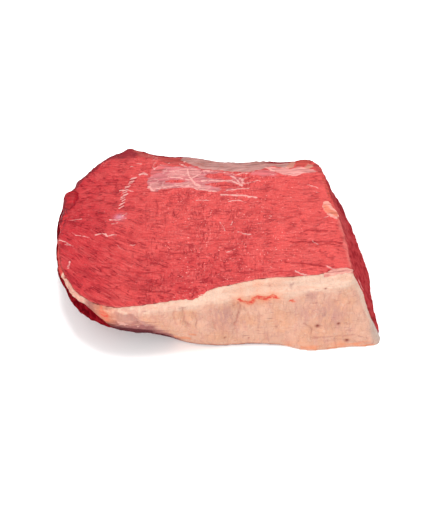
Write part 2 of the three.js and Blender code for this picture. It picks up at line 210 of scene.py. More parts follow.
# White sinew: a width, how white it is, and the route.
SINEW = [
    (1.0, 1.0, [(-35.1, 46.3), (-30.2, 44.8), (-21.7, 42.6), (-17.4, 41.2)]),
    (0.8, 0.7, [(-34, 51.3), (-31.3, 51.5), (-27.8, 48.1), (-22.9, 46.1)]),
    (1.2, 1.0, [(-20.9, 52.4), (-20.2, 47.5), (-18, 43.3), (-15.6, 37.5), (-11.3, 35.6)]),
    (0.9, 0.8, [(-17.4, 43.3), (-12.6, 47.6), (-10.8, 51), (-8.4, 51.8), (-3.5, 50.6)]),
    (0.9, 0.8, [(-47.6, 34.7), (-39.7, 35.1), (-32.5, 35.7), (-25.2, 36), (-18, 35.9), (-13.7, 32.2),
        (-5.9, 29.9), (0.1, 28.4)]),
    (1.1, 1.0, [(-10.8, 40.7), (-4.7, 41.3), (1.3, 40.1), (11.6, 38.4), (15.2, 36.2), (18.8, 33.8)]),
    (0.9, 1.0, [(11, 43.3), (14, 41.3), (15.8, 38.9), (18.5, 35.1)]),
    (1.3, 0.8, [(17.1, 41), (19.8, 39.8), (19.4, 35.5)]),
    (0.8, 0.5, [(19.7, 35.5), (23.6, 36.2), (26.6, 36.9), (32.1, 37.5)]),
    (0.8, 0.7, [(-3.5, 50.6), (4.4, 49.2), (8.6, 47.1), (14.7, 45.5), (21.9, 45.6), (26.8, 46.3)]),
    (1.2, 0.9, [(4.3, 24.6), (11.5, 24.2), (16.3, 23.2), (20.5, 23.5), (28.2, 21.6)]),
    (0.7, 0.8, [(9.1, 17.8), (16.2, 18.6), (21.6, 17)]),
    (0.7, 0.8, [(-14.2, 21.3), (-9.4, 20.2), (-5.2, 19.7)]),
    (0.8, 0.8, [(7.9, 28.9), (16.9, 30.2), (23.5, 30.4)]),
    (0.6, 0.5, [(19.5, 40.7), (25.5, 41.4)]),
    (0.8, 0.5, [(-46.6, 64.8), (-44.3, 68.4), (-43.8, 63.7), (-45.6, 60.9), (-46.7, 57.4), (-45.1, 54.8),
        (-42.7, 57.1)]),
    (0.7, 0.5, [(-43.4, 58.9), (-37.8, 58.6), (-34.2, 60)]),
    (0.9, 0.9, [(-26.5, 58.2), (-24.3, 57.1), (-21.2, 55.4)]),
    (1.0, 0.9, [(-23.2, 60.8), (-22.6, 61.4)]),
    (1.0, 0.4, [(-57.4, 72.1), (-51.1, 70.1), (-44.9, 68.3), (-41.2, 68.3)]),
    (0.9, 0.7, [(35.9, 50.3), (39.7, 47.1), (44.1, 45.8), (48.4, 41.6), (52.8, 40.7), (56.2, 41)]),
    (1.6, 1.0, [(-48.4, 37.2), (-47.2, 34.4), (-45.2, 33.6)]),
    (1.2, 1.0, [(-56, 49.8), (-53.6, 50.8), (-50.5, 49.5)]),
    (0.6, 0.9, [(-70, 34.8), (-65.4, 35), (-59.9, 33.2)]),
    (0.6, 0.6, [(-64.9, 59.7), (-60.6, 59)]),
    (0.6, 0.7, [(-59.2, 62), (-55.1, 61.1)]),
    (0.6, 0.5, [(-62.3, 67.6), (-59.3, 67.2)]),
    (0.7, 0.7, [(-75.7, 6.9), (-70, 6.4), (-64.2, 7.4)]),
    (0.6, 0.7, [(-74.1, 3), (-69.8, 4)]),
    (0.8, 0.7, [(-67, 9), (-64.5, 12)]),
    (0.5, 0.7, [(-106, 8.7), (-101, 9.1), (-96.1, 9.3)]),
    (0.7, 0.6, [(-101.9, -3.3), (-99.3, -5.2), (-94.3, -7.5), (-89.3, -8.4)]),
    (0.8, 0.8, [(-85.4, -6.5), (-80.5, -5.9), (-76.4, -8.4), (-70.7, -7.7)]),
    (0.7, 0.75, [(-110.5, -9), (-106.2, -12.2), (-103.7, -14.8), (-101, -16.3)]),
    (0.5, 0.7, [(-106.5, -14.3), (-102.9, -16.6)]),
    (0.8, 0.9, [(-102.2, -36.7), (-101.5, -31.3)]),
    (0.6, 0.7, [(-60.4, -17.9), (-57.2, -18.1)]),
    (0.5, 0.6, [(-68.9, -17.6), (-66.6, -20.6)]),
    (0.8, 0.8, [(15.4, -11.3), (20.2, -14.1), (24.1, -14.3)]),
    (0.6, 0.7, [(10.5, -4.1), (11.9, -0.4)]),
    (0.6, 0.6, [(2.7, -0.7), (6.9, -9.6)]),
    (0.6, 0.6, [(6.9, -30.1), (10.3, -29)]),
    (0.6, 0.7, [(66.9, -24), (68.8, -26.8), (70.7, -27.7)]),
    (0.6, 0.6, [(65.2, 29.6), (68.7, 28.2), (72.9, 26.3)]),
    (0.6, 0.8, [(66.8, 29.2), (70, 27.6), (72.7, 26.3)]),
    (0.7, 0.9, [(54.2, -50.9), (57.5, -53.2), (61.9, -55.1), (67.1, -56.6)]),
    (0.6, 0.7, [(54.4, -55.4), (61.2, -55.2), (69.4, -57.8)]),
    (0.7, 0.8, [(75, -47), (76.5, -48.6), (79.4, -50.8), (83.5, -51.6)]),
    (0.5, 0.6, [(69.8, 23.1), (73, 21.4)]),
    (0.6, 0.5, [(36.3, 42.7), (41.8, 41.6), (44, 42.4)]),
    (0.7, 0.7, [(75.7, -3.5), (79.3, -1.8), (84, -5.4)]),
]
SINEW_NARROWED = 0.85
# A row of short white stitches of sinew, from back to front, ends in a small lilac patch.
STITCH_ROW = [(-60, 47.2), (-62.4, 41.7), (-64.7, 35.9), (-66.6, 29.2), (-67.4, 23.2), (-68.7, 18.5)]
STITCH_COUNT = 15
STITCH_SEED = 7
STITCH_LENGTH = 3.2
STITCH_WIDTH = 0.5
STITCH_TILT = (14, 38)  # degrees, at the back and at the front end of the row
LILAC_PATCH = (-69, 8.5)
# Cracks that the knife opened: a depth, and the route.
CRACKS = [
    (0.5, [(-75.5, 49.3), (-72.3, 42.7), (-72.3, 35.6)]),
    (0.4, [(-92.8, 30.5), (-84, 26.4), (-74.3, 22.3)]),
    (0.4, [(-83.2, 13.4), (-78.1, 13)]),
    (0.4, [(-56.6, 13.7), (-51.6, 13.4)]),
    (0.3, [(-36.4, 9.4), (-36.2, -0.6)]),
    (0.3, [(-50, 20), (-50.5, 12), (-49, 5)]),
    (0.3, [(-43, 24), (-42, 15), (-42.5, 8)]),
    (0.3, [(-30, 14), (-29, 5)]),
    (0.3, [(-98, -36), (-88, -43), (-78, -46), (-68, -45)]),
    (0.3, [(-90, -28), (-80, -34), (-70, -35)]),
    (0.3, [(-74, -52), (-64, -53), (-54, -50)]),
    (0.3, [(-58, -30), (-50, -33), (-40, -33)]),
    (0.3, [(-45, -54), (-36, -56), (-27, -53), (-18, -55)]),
    (0.3, [(-95, -14), (-85, -21), (-75, -23)]),
    (0.3, [(-55.1, 33.1), (-46.4, 32.6), (-40.6, 32.1)]),
    (0.8, [(61.6, -14.8), (69.6, -14.9), (77.6, -15.6)]),
    (0.8, [(51.8, -23.7), (58.2, -23.6), (66.4, -25.4), (75.4, -25.5), (80.9, -25.2), (87, -27.2)]),
    (0.5, [(70.4, -28), (78.7, -27.4), (85.5, -29.4)]),
    (0.3, [(27.9, -14.7), (40.1, -15.3)]),
    (0.7, [(47.2, -42.5), (57.4, -43.5), (65.5, -46.3), (74.3, -48)]),
    (0.5, [(36.8, -50.8), (43.6, -49.8), (53.8, -51.4)]),
    (0.9, [(73.1, -58.4), (75.3, -55.2), (77.5, -51.8)]),
    (0.7, [(-51.9, -59.6), (-43.6, -62.1), (-34.7, -63.7), (-30.6, -62.2)]),
    (0.7, [(-21.1, -61), (-14.3, -63.5), (-12.9, -65)]),
    (0.4, [(-85, -52), (-76, -57), (-66, -58)]),
    (0.4, [(-62, -42), (-48, -46), (-36, -45)]),
    (0.4, [(-40, -26), (-28, -29), (-14, -28)]),
    (0.9, [(-104.5, 38.5), (-100.5, 34.5), (-99.8, 29.5), (-102, 24.5), (-106, 21)]),
]
# On the end cut: a white strand, partly sinew and partly a painted wet highlight, and notches that are torn
# out of the cut. All are (x, y, z).
WALL_SINEW = [(96.5, -49, 51.5), (99.3, -52.2, 46.2), (102, -54.2, 39.7)]
NOTCHES = [(87, 19, 52), (98, 6, 35), (104, -8, 22), (93, 33, 28), (99, -26, 46), (90, 3, 58), (97, -36, 55)]
NOTCH_REACH = 4.0
NOTCH_DEPTH = 1.6
# A lobe stands out of the left rim, and the corner at the back is drawn out to a point.
LOBE = (-106, 32, 45)
LOBE_REACH = 5.5
LOBE_HEIGHT = 4.0
PEAK = (-64.5, 77, 49)
PEAK_REACH = 3.5
PEAK_HEIGHT = 1.8
# Where the lean bulges out over the fat: how far, at what x, and how wide.
BULGE = 3.6
BULGE_AT = -15
BULGE_WIDE = 11


def chance(cells, seed):
    """A fixed number from 0 to 1 for each whole-number cell. Its odd constants only scramble."""
    mixed = np.sin(cells @ np.array((127.1, 311.7, 74.7)) + seed * 19.19) * 43758.5453
    return mixed - np.floor(mixed)


def ripple(spots, size, seed=0):
    """Smooth noise from about -1 to 1, its lumps about size wide."""
    scaled = spots / np.array(size, float)
    corner = np.floor(scaled)
    inside = scaled - corner
    ease = inside**3 * (inside * (inside * 6 - 15) + 10)
    total = np.zeros(len(spots))
    for step in itertools.product((0, 1), repeat=3):
        cell = corner + step
        slope = np.stack([2 * chance(cell, seed + k / 3) - 1 for k in range(3)], axis=1)
        weight = np.prod(np.where(step, ease, 1 - ease), axis=1)
        total += weight * np.sum(slope * (inside - step), axis=1)
    return 1.5 * total


def seams(spots, size, width, seed):
    """Thin winding lines: 1 along a line and 0 away from it."""
    return np.clip(1 - np.abs(ripple(spots, size, seed)) / width, 0, 1)


def climb(low, high, values):
    """0 at low, 1 at high, and a smooth climb between; low may lie above high."""
    share = np.clip((values - low) / (high - low), 0, 1)
    return share * share * (3 - 2 * share)


def bell(distance, width):
    """1 where the distance is 0, and fading out over the width."""
    return np.exp(-((distance / width) ** 2))


def beside(flat, route):
    """How far each flat spot lies from a route of straight stretches."""
    nearest = np.full(len(flat), np.inf)
    for start, end in zip(np.array(route, float), np.array(route, float)[1:]):
        along = end - start
        share = np.clip(((flat - start) @ along) / (along @ along), 0, 1)
        nearest = np.minimum(nearest, np.linalg.norm(flat - start - share[:, None] * along, axis=1))
    return nearest


def within(flat, outline):
    """How far inside an outline each flat spot lies, and less than 0 outside it."""
    closed = [*outline, outline[0]]
    inside = np.zeros(len(flat), bool)
    for (x0, y0), (x1, y1) in zip(closed, closed[1:]):
        if y0 != y1:
            straddles = (flat[:, 1] < y0) != (flat[:, 1] < y1)
            inside ^= straddles & (flat[:, 0] < x0 + (flat[:, 1] - y0) * (x1 - x0) / (y1 - y0))
    depth = beside(flat, closed)
    return np.where(inside, depth, -depth)


def along(route, shares):
    """The points that lie at these shares of a route's length."""
    route = np.array(route, float)
    reached = np.concatenate(([0], np.cumsum(np.linalg.norm(np.diff(route, axis=0), axis=1))))
    return np.stack([np.interp(shares * reached[-1], reached, column) for column in route.T], axis=1)


def skin_of(node):
    """The surface of a solid, to measure distances from."""
    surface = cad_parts[node].data
    corners = [vertex.co for vertex in surface.vertices]
    return BVHTree.FromPolygons(corners, [list(face.vertices) for face in surface.polygons])


def gap_to(spots, others):
    """How far each spot lies from the nearest of the others."""
    tree = KDTree(len(others))
    for number, other in enumerate(others):
        tree.insert(other, number)
    tree.balance()
    return np.array([tree.find(spot)[2] for spot in spots])


def fresh_mesh(node, spacing, easing):
    """A solid's surface with small even faces, its edges eased."""
    rough = bpy.data.objects.new("rough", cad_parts[node].data.copy())
    scene.collection.objects.link(rough)
    even = rough.modifiers.new("even", "REMESH")
    even.mode = "VOXEL"
    even.voxel_size = spacing
    mesh = bpy.data.meshes.new_from_object(rough.evaluated_get(bpy.context.evaluated_depsgraph_get()))
    bpy.data.objects.remove(rough)
    spots = read_spots(mesh)
    edges = np.zeros(2 * len(mesh.edges), int)
    mesh.edges.foreach_get("vertices", edges)
    one, other = edges.reshape(-1, 2).T
    count = np.bincount(np.concatenate((one, other)), minlength=len(spots))
    for _ in range(easing):
        around = np.zeros_like(spots)
        for axis in range(3):
            around[:, axis] += np.bincount(one, spots[other, axis], len(spots))
            around[:, axis] += np.bincount(other, spots[one, axis], len(spots))
        spots = (spots + around / count[:, None]) / 2
    write_spots(mesh, spots)
    return mesh


def read_spots(mesh, what="co"):
    """The mesh's points in millimetres, or its normals."""
    values = np.zeros(3 * len(mesh.vertices))
    mesh.vertices.foreach_get(what, values)
    return values.reshape(-1, 3) * (1000 if what == "co" else 1)


def write_spots(mesh, spots):
    """Moves the mesh's points to these places, in millimetres."""
    mesh.vertices.foreach_set("co", (spots / 1000).ravel())
    mesh.update()


def read_faces(mesh):
    """The middle of each face in millimetres, and its normal."""
    middles, normals = (np.zeros(3 * len(mesh.polygons)) for _ in range(2))
    mesh.polygons.foreach_get("center", middles)
    mesh.polygons.foreach_get("normal", normals)
    return middles.reshape(-1, 3) * 1000, normals.reshape(-1, 3)


def plain_underside(mesh):
    """Joins the faces that lie flat on the table, where nothing shows."""
    work = bmesh.new()
    work.from_mesh(mesh)
    downward = [face for face in work.faces if face.normal.z < FACES_DOWN]
    flat_faces = [face for face in downward if face.calc_center_median().z < ON_TABLE]
    edges = {edge for face in flat_faces for edge in face.edges}
    corners = {corner for face in flat_faces for corner in face.verts}
    bmesh.ops.dissolve_limit(work, angle_limit=UNDERSIDE_ANGLE, verts=list(corners), edges=list(edges))
    work.to_mesh(mesh)
    work.free()
    mesh.update()


def refine(mesh, wanted):
    """Splits the wanted faces into four."""
    work = bmesh.new()
    work.from_mesh(mesh)
    work.faces.ensure_lookup_table()
    edges = {edge for index in np.flatnonzero(wanted) for edge in work.faces[index].edges}
    bmesh.ops.subdivide_edges(work, edges=list(edges), cuts=1, use_grid_fill=True)
    work.to_mesh(mesh)
    work.free()
    mesh.update()


def paint(mesh, **layers):
    """Keeps a number, or three, for each point of the mesh, for its material to read."""
    for name, values in layers.items():
        if values.ndim == 1:
            mesh.attributes.new(name, "FLOAT", "POINT").data.foreach_set("value", values)
        else:
            mesh.attributes.new(name, "FLOAT_VECTOR", "POINT").data.foreach_set("vector", values.ravel())


def finished_piece(name, mesh, material):
    """A smooth object that rides on the body, with its material."""
    mesh.polygons.foreach_set("use_smooth", np.ones(len(mesh.polygons), bool))
    mesh.materials.clear()
    mesh.materials.append(material)
    piece = bpy.data.objects.new(name, mesh)
    scene.collection.objects.link(piece)
    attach(piece, "root")
    return piece


class Finish:
    """A material and the nodes that it is put together from. Sizes are in millimetres."""

    def __init__(self, name):
        self.material = bpy.data.materials.new(name)
        self.material.use_nodes = True
        self.tree = self.material.node_tree
        self.shader = self.tree.nodes["Principled BSDF"]
        place = self.node("ShaderNodeTexCoord").outputs["Object"]
        inputs = {0: place, "Scale": 1000}
        self.place = self.node("ShaderNodeVectorMath", inputs, operation="SCALE").outputs[0]

    def node(self, kind, inputs=None, **settings):
        """A new node, with these settings and inputs."""
        made = self.tree.nodes.new(kind)
        for key, value in settings.items():
            setattr(made, key, value)
        for socket, value in (inputs or {}).items():
            self.put(made.inputs[socket], value)
        return made

    def put(self, socket, value):
        """Gives a socket a value, or links it to another node's output."""
        if isinstance(value, bpy.types.NodeSocket):
            self.tree.links.new(value, socket)
        else:
            socket.default_value = value

    def painted(self, name, output="Fac"):
        """What paint() kept for each point."""
        return self.node("ShaderNodeAttribute", attribute_name=name).outputs[output]

    def maths(self, operation, one, other=0.0):
        return self.node("ShaderNodeMath", {0: one, 1: other}, operation=operation).outputs[0]

    def times(self, one, other):
        return self.maths("MULTIPLY", one, other)

    def between(self, value, low, high, most=1.0):
        """0 at low, and most at high."""
        inputs = {"Value": value, "From Min": low, "From Max": high, "To Max": most}
        return self.node("ShaderNodeMapRange", inputs, interpolation_type="SMOOTHSTEP").outputs[0]

    def ranged(self, value, low, high):
        """From low, where the value is 0, to high, where it is 1."""
        inputs = {"Value": value, "To Min": low, "To Max": high}
        return self.node("ShaderNodeMapRange", inputs).outputs[0]

    def scaled(self, size, place, seed):
        """The place in lumps of this size, shifted by the seed."""
        sizes = size if isinstance(size, tuple) else (size, size, size)
        inputs = {0: place or self.place, 1: tuple(1 / s for s in sizes), 2: (seed, seed, seed)}
        return self.node("ShaderNodeVectorMath", inputs, operation="MULTIPLY_ADD").outputs[0]

    def noise(self, size, detail=2.0, place=None, seed=0.0, output=0):
        """Noise from 0 to 1, its lumps size wide: one number, or one for each direction."""
        inputs = {"Vector": self.scaled(size, place, seed), "Scale": 1.0, "Detail": detail}
        return self.node("ShaderNodeTexNoise", inputs).outputs[output]

    def stirred(self, place, size, reach, seed=0.0):
        """The place, pushed to and fro by as much as reach."""
        push = self.noise(size, 2.0, seed=seed, output=1)
        inputs = {0: push, 1: (-0.5, -0.5, -0.5)}
        shift = self.node("ShaderNodeVectorMath", inputs, operation="ADD").outputs[0]
        inputs = {0: shift, 1: (reach, reach, reach), 2: place}
        return self.node("ShaderNodeVectorMath", inputs, operation="MULTIPLY_ADD").outputs[0]

    def lines(self, noise, width, most=1.0):
        """Thin lines where the noise passes through its middle."""
        return self.between(self.maths("ABSOLUTE", self.maths("SUBTRACT", noise, 0.5)), width, 0.0, most)

    def ragged(self, share, noise, strength, most=1.0, softness=0.15):
        """A painted share, its edge torn by noise."""
        torn = self.maths("ADD", share, self.times(self.maths("SUBTRACT", noise, 0.5), strength))
        return self.between(torn, 0.5 - softness, 0.5 + softness, most)

    def mix(self, share, one, other):
        mixed = self.node("ShaderNodeMix", data_type="RGBA")
        self.put(mixed.inputs[0], share)
        self.put(mixed.inputs[6], one if isinstance(one, bpy.types.NodeSocket) else (*one, 1))
        self.put(mixed.inputs[7], other if isinstance(other, bpy.types.NodeSocket) else (*other, 1))
        return mixed.outputs[2]

    def varied(self, colour, noise, low, high):
        """A colour that noise makes darker or lighter, from low to high times itself."""
        inputs = {"Value": noise, "From Min": 0.3, "From Max": 0.7, "To Min": low, "To Max": high}
        share = self.node("ShaderNodeMapRange", inputs).outputs[0]
        return self.node("ShaderNodeVectorMath", {0: colour, "Scale": share}, operation="SCALE").outputs[0]

    def bump(self, height, depth, below=None):
        """Fine relief, depth millimetres deep."""
        made = self.node("ShaderNodeBump", {"Height": height, "Strength": 1.0, "Distance": depth / 1000})
        if below:
            self.put(made.inputs["Normal"], below)
        return made.outputs[0]


def lean_finish(name, gloss):
    """Red lean with its grain, and over it the skins, the sinew and the cracks that are painted on it."""
    lean = Finish(name)
    straight = lean.painted("grain", "Vector")
    grain = lean.stirred(straight, 12.0, 1.2)
    crossed = lean.painted("crossed")
    covered = lean.ragged(lean.painted("covered"), lean.noise((7, 2.0, 4), 4.0, seed=9.0), 1.6, 0.94, 0.27)
    bare = lean.maths("SUBTRACT", 1.0, covered)

    soft = lean.noise((18, 9, 9), 2.0, straight, 2.0)
    fibres = lean.noise((7.0, 1.2, 2.5), 2.0, grain, 7.0)
    across = lean.noise((1.2, 5.0, 2.5), 2.0, straight, 4.0)
    threads = lean.noise((3.0, 0.7, 2.0), 2.0, grain, 8.0)
    pores = lean.noise((0.8, 1.4, 1.2), 2.0, seed=3.0)
    creases = lean.lines(lean.noise((12, 2.8, 4), 1.0, grain, 11.0), 0.055)
    creases = lean.times(creases, lean.between(lean.noise(6, 2.0, seed=5.0), 0.44, 0.60))
    cross_creases = lean.lines(lean.noise((3.0, 8, 4), 1.0, straight, 17.0), 0.06)
    cross_creases = lean.times(cross_creases, lean.between(lean.noise(6, 2.0, seed=6.0), 0.44, 0.58))
    creases = lean.times(lean.maths("MAXIMUM", creases, lean.times(cross_creases, crossed)), bare)

    colour = lean.mix(lean.painted("deep"), LEAN_BRIGHT, LEAN_RED)
    mottled = lean.between(lean.noise((10, 7, 7), 3.0, straight, 21.0), 0.48, 0.64, 0.22)
    colour = lean.mix(mottled, colour, LEAN_DULL)
    colour = lean.varied(colour, soft, 0.94, 1.06)
    darkness = lean.ranged(lean.painted("deep"), 0.35, 0.8)
    # Streaks along and across the bundles, paler on their raised tops and darker between: partly the meat's
    # own, partly painted highlight and shade.
    colour = lean.mix(lean.times(lean.between(fibres, 0.48, 0.30), darkness), colour, LEAN_STREAK)
    paleness = lean.ranged(lean.painted("deep"), 0.5, 0.2)
    colour = lean.mix(lean.times(lean.between(fibres, 0.54, 0.74), paleness), colour, LEAN_PALE)
    colour = lean.mix(lean.times(lean.between(across, 0.46, 0.30, 0.5), crossed), colour, LEAN_STREAK)
    colour = lean.mix(lean.times(lean.between(across, 0.56, 0.74, 0.5), crossed), colour, LEAN_PALE)
    colour = lean.varied(colour, threads, 0.9, 1.1)
    colour = lean.varied(colour, pores, 0.9, 1.1)
    crease_share = lean.ranged(lean.painted("deep"), 0.55, 1.0)
    colour = lean.mix(lean.times(creases, crease_share), colour, LEAN_CREASE)
    # Small pale specks of painted highlight, for the wet glints of the cut face.
    flecks = lean.times(lean.between(lean.noise(1.2, 1.0, seed=33.0), 0.66, 0.76), lean.painted("flecked"))
    colour = lean.mix(flecks, colour, FLECK)

    end_grain = lean.noise((4.2, 4.2, 7.0), 5.0, seed=35.0)
    end_colour = lean.mix(lean.between(end_grain, 0.34, 0.56), END_DARK, END_RED)
    end_colour = lean.mix(lean.between(end_grain, 0.58, 0.74, 0.4), end_colour, END_PALE)
    film = lean.ragged(lean.painted("film"), lean.noise((10, 10, 6), 3.0, seed=36.0), 1.1, 0.3, 0.3)
    end_colour = lean.mix(film, end_colour, FILM_PINK)
    colour = lean.mix(lean.painted("end"), colour, end_colour)
    dark_rim = lean.ragged(lean.painted("rim"), lean.noise(3.5, 3.0, seed=38.0), 0.8, 0.9, 0.4)
    colour = lean.mix(dark_rim, colour, LEAN_RIM)
    # A pale line of painted highlight along the cut face's edge near the end cut.
    colour = lean.mix(lean.painted("lit_edge"), colour, EDGE_PINK)

    skins = lean.varied(lean.painted("cover", "Vector"), lean.noise((11, 1.5, 3), 4.0, seed=23.0), 0.6, 1.36)
    white_lines = lean.lines(lean.noise((9, 3, 3), 2.0, seed=24.0), 0.05)
    skins = lean.mix(lean.times(white_lines, lean.painted("threaded")), skins, SINEW_WHITE)
    brown_streaks = lean.between(lean.noise((8, 2.4, 3), 3.0, seed=15.0), 0.54, 0.66)
    skins = lean.mix(lean.times(brown_streaks, lean.painted("browned")), skins, SILVER_BROWN)
    colour = lean.mix(covered, colour, skins)
    colour = lean.mix(lean.painted("lilac"), colour, LILAC)
    sinew = lean.ragged(lean.painted("sinew"), lean.noise((2.2, 1.2, 1.8), 2.0, seed=31.0), 1.5, 0.85)
    colour = lean.mix(lean.between(lean.painted("sinew"), 0.12, 0.5, 0.5), colour, SINEW_MAUVE)
    colour = lean.mix(sinew, colour, SINEW_WHITE)
    # Pale pink where the lean meets the fat: partly the soft blend between them, partly painted light over
    # the shade in that seam.
    colour = lean.mix(lean.painted("seam"), colour, SEAM_PINK)
    colour = lean.mix(lean.painted("crack"), colour, LEAN_CREASE)
    lean.put(lean.shader.inputs["Base Color"], colour)

    relief = lean.bump(pores, 0.16)
    relief = lean.bump(threads, 0.12, relief)
    relief = lean.bump(lean.times(fibres, bare), 0.45, relief)
    relief = lean.bump(lean.times(across, crossed), 0.3, relief)
    relief = lean.bump(lean.times(creases, -1.0), 0.25, relief)
    lean.put(lean.shader.inputs["Normal"], relief)
    lean.put(lean.shader.inputs["Roughness"], lean.ranged(soft, 0.34, 0.5))
    lean.shader.inputs["Subsurface Weight"].default_value = 0.06
    lean.shader.inputs["Subsurface Radius"].default_value = (1.0, 0.25, 0.2)
    lean.shader.inputs["Subsurface Scale"].default_value = 0.001
    lean.shader.inputs["Specular IOR Level"].default_value = gloss
    return lean.material


lean_mesh = fresh_mesh("lean", LEAN_SPACING, LEAN_EASING)
plain_underside(lean_mesh)
middles, normals = read_faces(lean_mesh)
upper_cut = (normals[:, 2] > 0.45) & (middles[:, 2] > CUT_FACE_ABOVE)
end_cut = (normals[:, 0] > 0.3) & (middles[:, 0] > END_CUT_BEYOND)
refine(lean_mesh, upper_cut | end_cut)
middles, normals = read_faces(lean_mesh)
near_sinew = np.min([beside(middles[:, :2], route) for _, _, route in SINEW], axis=0) < 1.1
near_stitches = beside(middles[:, :2], STITCH_ROW) < 0.7 * STITCH_LENGTH
refine(lean_mesh, (near_sinew | near_stitches) & (normals[:, 2] > 0.6) & (middles[:, 2] > CUT_FACE_ABOVE))

spots = read_spots(lean_mesh)
facing = read_spots(lean_mesh, "normal")
flat = spots[:, :2]
x, y, z = spots.T
high_up = climb(CUT_FACE_ABOVE, 38, z)
on_cut = climb(0.5, 0.8, facing[:, 2]) * high_up
on_end = climb(0.3, 0.55, facing[:, 0]) * climb(60, 75, x) * (1 - on_cut)
seen_above = climb(0.1, 0.45, facing[:, 2]) * high_up
off_table = climb(*RELIEF_FADES_IN, z)
fat_skin = skin_of("fat_cap")
to_fat = np.array([fat_skin.find_nearest(Vector(spot) / 1000)[3] for spot in spots]) * 1000
to_wall = gap_to(spots, spots[(facing[:, 2] < 0.6) & (z > CUT_FACE_ABOVE) & (to_fat > 2)])

# The grain: along the bundles, across them, and a number that keeps the cut face apart from the walls.
swept = (1 - climb(*BUNDLES_LEVEL, y)) * BUNDLES_SWEEP * np.minimum(x - BUNDLES_TURN, 0) ** 2
cut_grain = np.stack([x, y - swept, 0 * x], axis=1)
wall_grain = np.stack([z, 85 * np.arctan2(y, x), 20 + 0 * x], axis=1)
grain = np.where(on_cut[:, None] > 0.5, cut_grain, wall_grain)
winding = 1.6 * ripple(spots, 13, 40)[:, None] * np.array((0, 1, 0)) + grain

# The skins that lie on it, one over another.
cover = np.tile(LEAN_BRIGHT, (len(spots), 1))
covered = np.zeros(len(spots))
skin_height = np.zeros(len(spots))
torn = np.max([climb(-0.8, 1.0, within(flat, tear) + 0.9 * ripple(spots, 4, 41)) for tear in TEARS], axis=0)
shares = {}
for number, (name, (colour, raised_by, soft, outline)) in enumerate(PATCHES.items()):
    wavy = within(flat, outline) + soft * ripple(spots, 5, 60 + number)
    wavy += 0.7 * ripple(spots, (3.5, 1.5, 3), 80 + number)
    share = climb(-soft, soft, wavy) * seen_above
    cover += climb(0.05, 0.5, share)[:, None] * (np.array(colour) - cover)
    if name.startswith("veil"):
        share *= (1 - torn) * (1 - 0.45 * climb(-6, 8, x))
    covered = np.maximum(covered, share)
    skin_height = np.maximum(skin_height, raised_by * share)
    shares[name] = share
streaked = ripple(spots, (45, 45, 6), 50) + 0.4 * ripple(spots, (16, 16, 2.5), 57)
back_wall = (1 - seen_above) * (1 - on_end) * climb(-66, -50, x) * climb(30, 50, y)
back_wall *= climb(-0.45, 0.25, streaked)
cover += back_wall[:, None] * (np.array(SILVER_GREY) - cover)
covered = np.maximum(covered, 0.8 * back_wall)
turning = 1 - climb(0.4, 2.4, to_wall + 0.8 * ripple(spots, (4, 4, 4), 58))
turning = np.maximum(turning, climb(0.40, 0.56, facing[:, 1])) * seen_above * climb(0, 12, y)
covered *= 1 - turning * (0.3 + 0.65 * np.maximum(1 - climb(-24, -12, x), climb(30, 44, x)))
groove = climb(-0.5, 1.5, within(flat, GROOVE) + 0.8 * ripple(spots, 5, 42)) * on_cut

# The sinew, whose routes waver, and the stitches.
wander = flat + 0.9 * np.stack([ripple(spots, 7, 5), ripple(spots, 7, 6)], axis=1)
wander += 0.4 * np.stack([ripple(spots, 2.5, 45), ripple(spots, 2.5, 46)], axis=1)
patchy = 0.85 + 0.5 * ripple(spots, 4, 43)
sinew = np.zeros(len(spots))
for width, whiteness, route in SINEW:
    sinew = np.maximum(sinew, whiteness * patchy * bell(beside(wander, route), SINEW_NARROWED * width))
stitch_gaps = np.zeros(len(spots))
random = np.random.default_rng(STITCH_SEED)
for share, middle in zip(np.linspace(0, 1, STITCH_COUNT), along(STITCH_ROW, np.linspace(0, 1, STITCH_COUNT))):
    tilt = math.radians(STITCH_TILT[0] * (1 - share) + STITCH_TILT[1] * share + random.normal(0, 5))
    half_stitch = np.array((math.cos(tilt), math.sin(tilt))) * STITCH_LENGTH / 2 * random.uniform(0.7, 1.2)
    middle = middle + random.normal(0, 0.5, 2)
    stitch = [middle - half_stitch, middle + half_stitch]
    sinew = np.maximum(sinew, 1.1 * bell(beside(flat, stitch), STITCH_WIDTH))
    stitch_gaps = np.maximum(stitch_gaps, 0.6 * bell(beside(flat + np.array((0, 1.4)), stitch), STITCH_WIDTH))
sinew *= climb(0.3, 0.6, facing[:, 2]) * high_up
end_wander = spots + 0.5 * ripple(spots, 4, 56)[:, None]
# The white strand on the end cut: partly sinew, partly a painted wet highlight.
sinew = np.maximum(sinew, 1.1 * bell(beside(end_wander, WALL_SINEW), 0.8) * on_end)
lilac = 0.6 * bell(np.hypot((x - LILAC_PATCH[0]) / 1.4, y - LILAC_PATCH[1]), 2.6) * on_cut

# What is cut or torn out of it, and what stands out.
depth = np.zeros(len(spots))
crack = stitch_gaps * on_cut
for deep_by, route in CRACKS:
    reach = beside(wander, route)
    depth = np.maximum(depth, deep_by * bell(reach, 1.0))
    crack = np.maximum(crack, min(1.0, 0.25 + 0.8 * deep_by) * bell(reach, 0.6) * on_cut)
torn_out = np.zeros(len(spots))
for place in NOTCHES:
    torn_out = np.maximum(torn_out, bell(np.linalg.norm(spots - place, axis=1), NOTCH_REACH))
lobe = bell(np.linalg.norm(spots - LOBE, axis=1), LOBE_REACH)
point = bell(np.linalg.norm(spots - PEAK, axis=1), PEAK_REACH)

# The creases between the bundles, along them and across them.
broken = climb(-0.25, 0.35, ripple(spots, 11, 8))
long_creases = seams(winding, (18, 4.2, 9), 0.16, 9) * broken
short_creases = 0.7 * seams(winding, (4.2, 10, 9), 0.13, 10) * climb(-0.1, 0.4, ripple(spots, 17, 11))
crossed = climb(-62, -40, x) * (1 - climb(25, 55, x))
crossed *= 0.35 + 0.65 * climb(-0.3, 0.2, ripple(spots, 14, 12))
crease = np.maximum(long_creases, short_creases * crossed) * (1 - covered) * (0.5 + 0.5 * on_cut)

